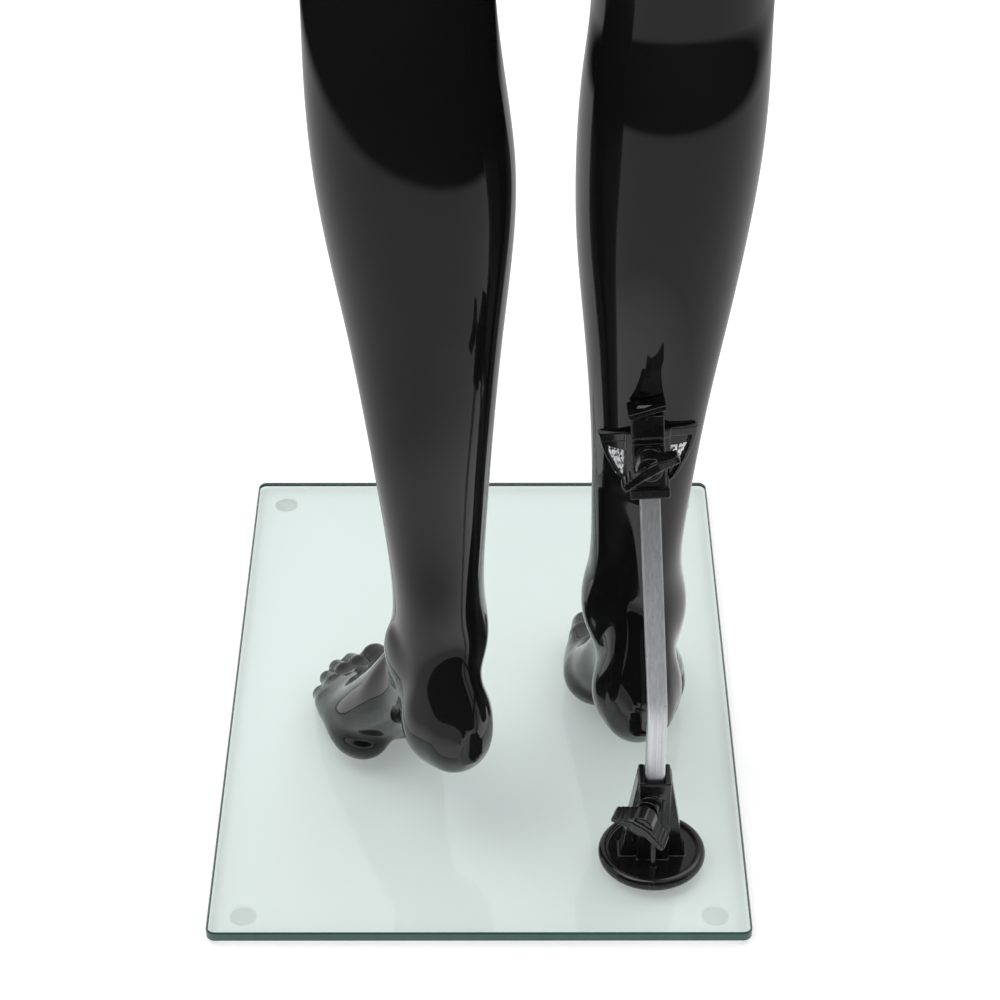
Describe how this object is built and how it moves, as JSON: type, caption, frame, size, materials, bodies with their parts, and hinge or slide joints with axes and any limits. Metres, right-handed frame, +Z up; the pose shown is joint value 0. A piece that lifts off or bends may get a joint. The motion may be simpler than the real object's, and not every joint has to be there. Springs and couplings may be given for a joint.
{
  "type": "full body mannequin",
  "caption": "Full body shop mannequin on a tempered glass base, held upright by a clamped rod and a bracket behind the calf; turning head, arms, wrists and waist.",
  "frame": {"origin": "on the floor, under the figure's midline, at the middle of the glass plate's depth", "axes": "+Z up; the figure faces -Y, so its right side is at -X and the support rod stands behind it at +Y"},
  "size_m": [0.48, 0.4, 1.755],
  "materials": {
    "body_gloss_black": "high gloss black lacquered shell",
    "fitting_black": "moulded black plastic, smooth",
    "inner_plastic": "dark moulded plastic, matte",
    "rod_aluminium": "brushed",
    "screw_steel": "zinc plated",
    "base_glass": "clear tempered glass with a green tint, polished edge",
    "bumper_clear": "clear soft bumper"
  },
  "bodies": {
    "base": {"glass_base": "base_glass", "bumper_front_left": "bumper_clear", "bumper_front_right": "bumper_clear", "bumper_rear_left": "bumper_clear", "bumper_rear_right": "bumper_clear", "rod_socket": "fitting_black", "socket_bolt": "screw_steel", "socket_nut": "screw_steel"},
    "socket_screw": {"socket_screw": "screw_steel"},
    "socket_knob": {"socket_knob": "fitting_black"},
    "rod": {"support_rod": "rod_aluminium", "rod_end_cap": "fitting_black"},
    "right_leg": {"right_leg_shell": "body_gloss_black", "leg_peg_plate_right": "screw_steel", "calf_bracket": "fitting_black", "calf_screw": "screw_steel", "calf_insert": "screw_steel"},
    "clamp_screw": {"clamp_screw": "screw_steel"},
    "clamp_knob": {"clamp_knob": "fitting_black"},
    "hips": {"pelvis_shell": "body_gloss_black", "hip_seat_plate_left": "screw_steel", "hip_seat_plate_right": "screw_steel", "waist_plug": "inner_plastic", "left_leg_shell": "body_gloss_black", "leg_peg_plate_left": "screw_steel"},
    "torso": {"torso_shell": "body_gloss_black", "waist_socket": "inner_plastic", "neck_socket": "inner_plastic", "shoulder_socket_left": "inner_plastic", "shoulder_socket_right": "inner_plastic"},
    "head": {"head_shell": "body_gloss_black", "neck_plug": "inner_plastic"},
    "left_arm": {"left_arm_shell": "body_gloss_black", "shoulder_plug_left": "inner_plastic", "wrist_socket_left": "inner_plastic"},
    "left_hand": {"left_hand": "body_gloss_black", "wrist_pin_left": "screw_steel"},
    "right_arm": {"right_arm_shell": "body_gloss_black", "shoulder_plug_right": "inner_plastic", "wrist_socket_right": "inner_plastic"},
    "right_hand": {"right_hand": "body_gloss_black", "wrist_pin_right": "screw_steel"}
  },
  "joints": [
    {"name": "rod_lift", "type": "slide", "parent": "base", "child": "rod", "axis": [0, 0, 1], "range_m": [0, 0.03]},
    {"name": "socket_knob_turn", "type": "hinge", "parent": "socket_screw", "child": "socket_knob", "pos_m": [-0.0625, 0.143, 0.0515], "axis": [0.309, 0.9511, 0], "range_deg": [0, 720]},
    {"name": "socket_screw_travel", "type": "slide", "parent": "base", "child": "socket_screw", "axis": [0.309, 0.9511, 0], "range_m": [0, 0.002]},
    {"name": "bracket_slide", "type": "slide", "parent": "rod", "child": "right_leg", "axis": [0.0546, -0.2076, 0.9767], "range_m": [0, 0.02]},
    {"name": "clamp_knob_turn", "type": "hinge", "parent": "clamp_screw", "child": "clamp_knob", "pos_m": [-0.05469, 0.11331, 0.24767], "axis": [0, 0.9781, 0.2079], "range_deg": [0, 720]},
    {"name": "clamp_screw_travel", "type": "slide", "parent": "right_leg", "child": "clamp_screw", "axis": [0, 0.9781, 0.2079], "range_m": [0, 0.002]},
    {"name": "hip_lift", "type": "slide", "parent": "right_leg", "child": "hips", "axis": [0, 0, 1], "range_m": [0, 0.045]},
    {"name": "waist_turn", "type": "hinge", "parent": "hips", "child": "torso", "pos_m": [0, 0.075, 1.1], "axis": [0, 0, 1], "range_deg": [0, 60]},
    {"name": "head_turn", "type": "hinge", "parent": "torso", "child": "head", "pos_m": [0, 0.078, 1.478], "axis": [0, 0, 1], "range_deg": [-75, 75]},
    {"name": "left_shoulder_turn", "type": "hinge", "parent": "torso", "child": "left_arm", "pos_m": [0.15, 0.083, 1.384], "axis": [-1, 0, 0], "range_deg": [-35, 100]},
    {"name": "right_shoulder_turn", "type": "hinge", "parent": "torso", "child": "right_arm", "pos_m": [-0.15, 0.083, 1.384], "axis": [-1, 0, 0], "range_deg": [-35, 100]},
    {"name": "left_wrist_turn", "type": "hinge", "parent": "left_arm", "child": "left_hand", "pos_m": [0.221, 0.05, 0.885], "axis": [0, 0, 1], "range_deg": [-90, 90]},
    {"name": "right_wrist_turn", "type": "hinge", "parent": "right_arm", "child": "right_hand", "pos_m": [-0.221, 0.05, 0.885], "axis": [0, 0, 1], "range_deg": [-90, 90]}
  ],
  "couplings": [
    {"joint": "socket_knob_turn", "follows": "socket_screw_travel", "rad_per_m": 6283.2},
    {"joint": "clamp_knob_turn", "follows": "clamp_screw_travel", "rad_per_m": 6283.2}
  ]
}
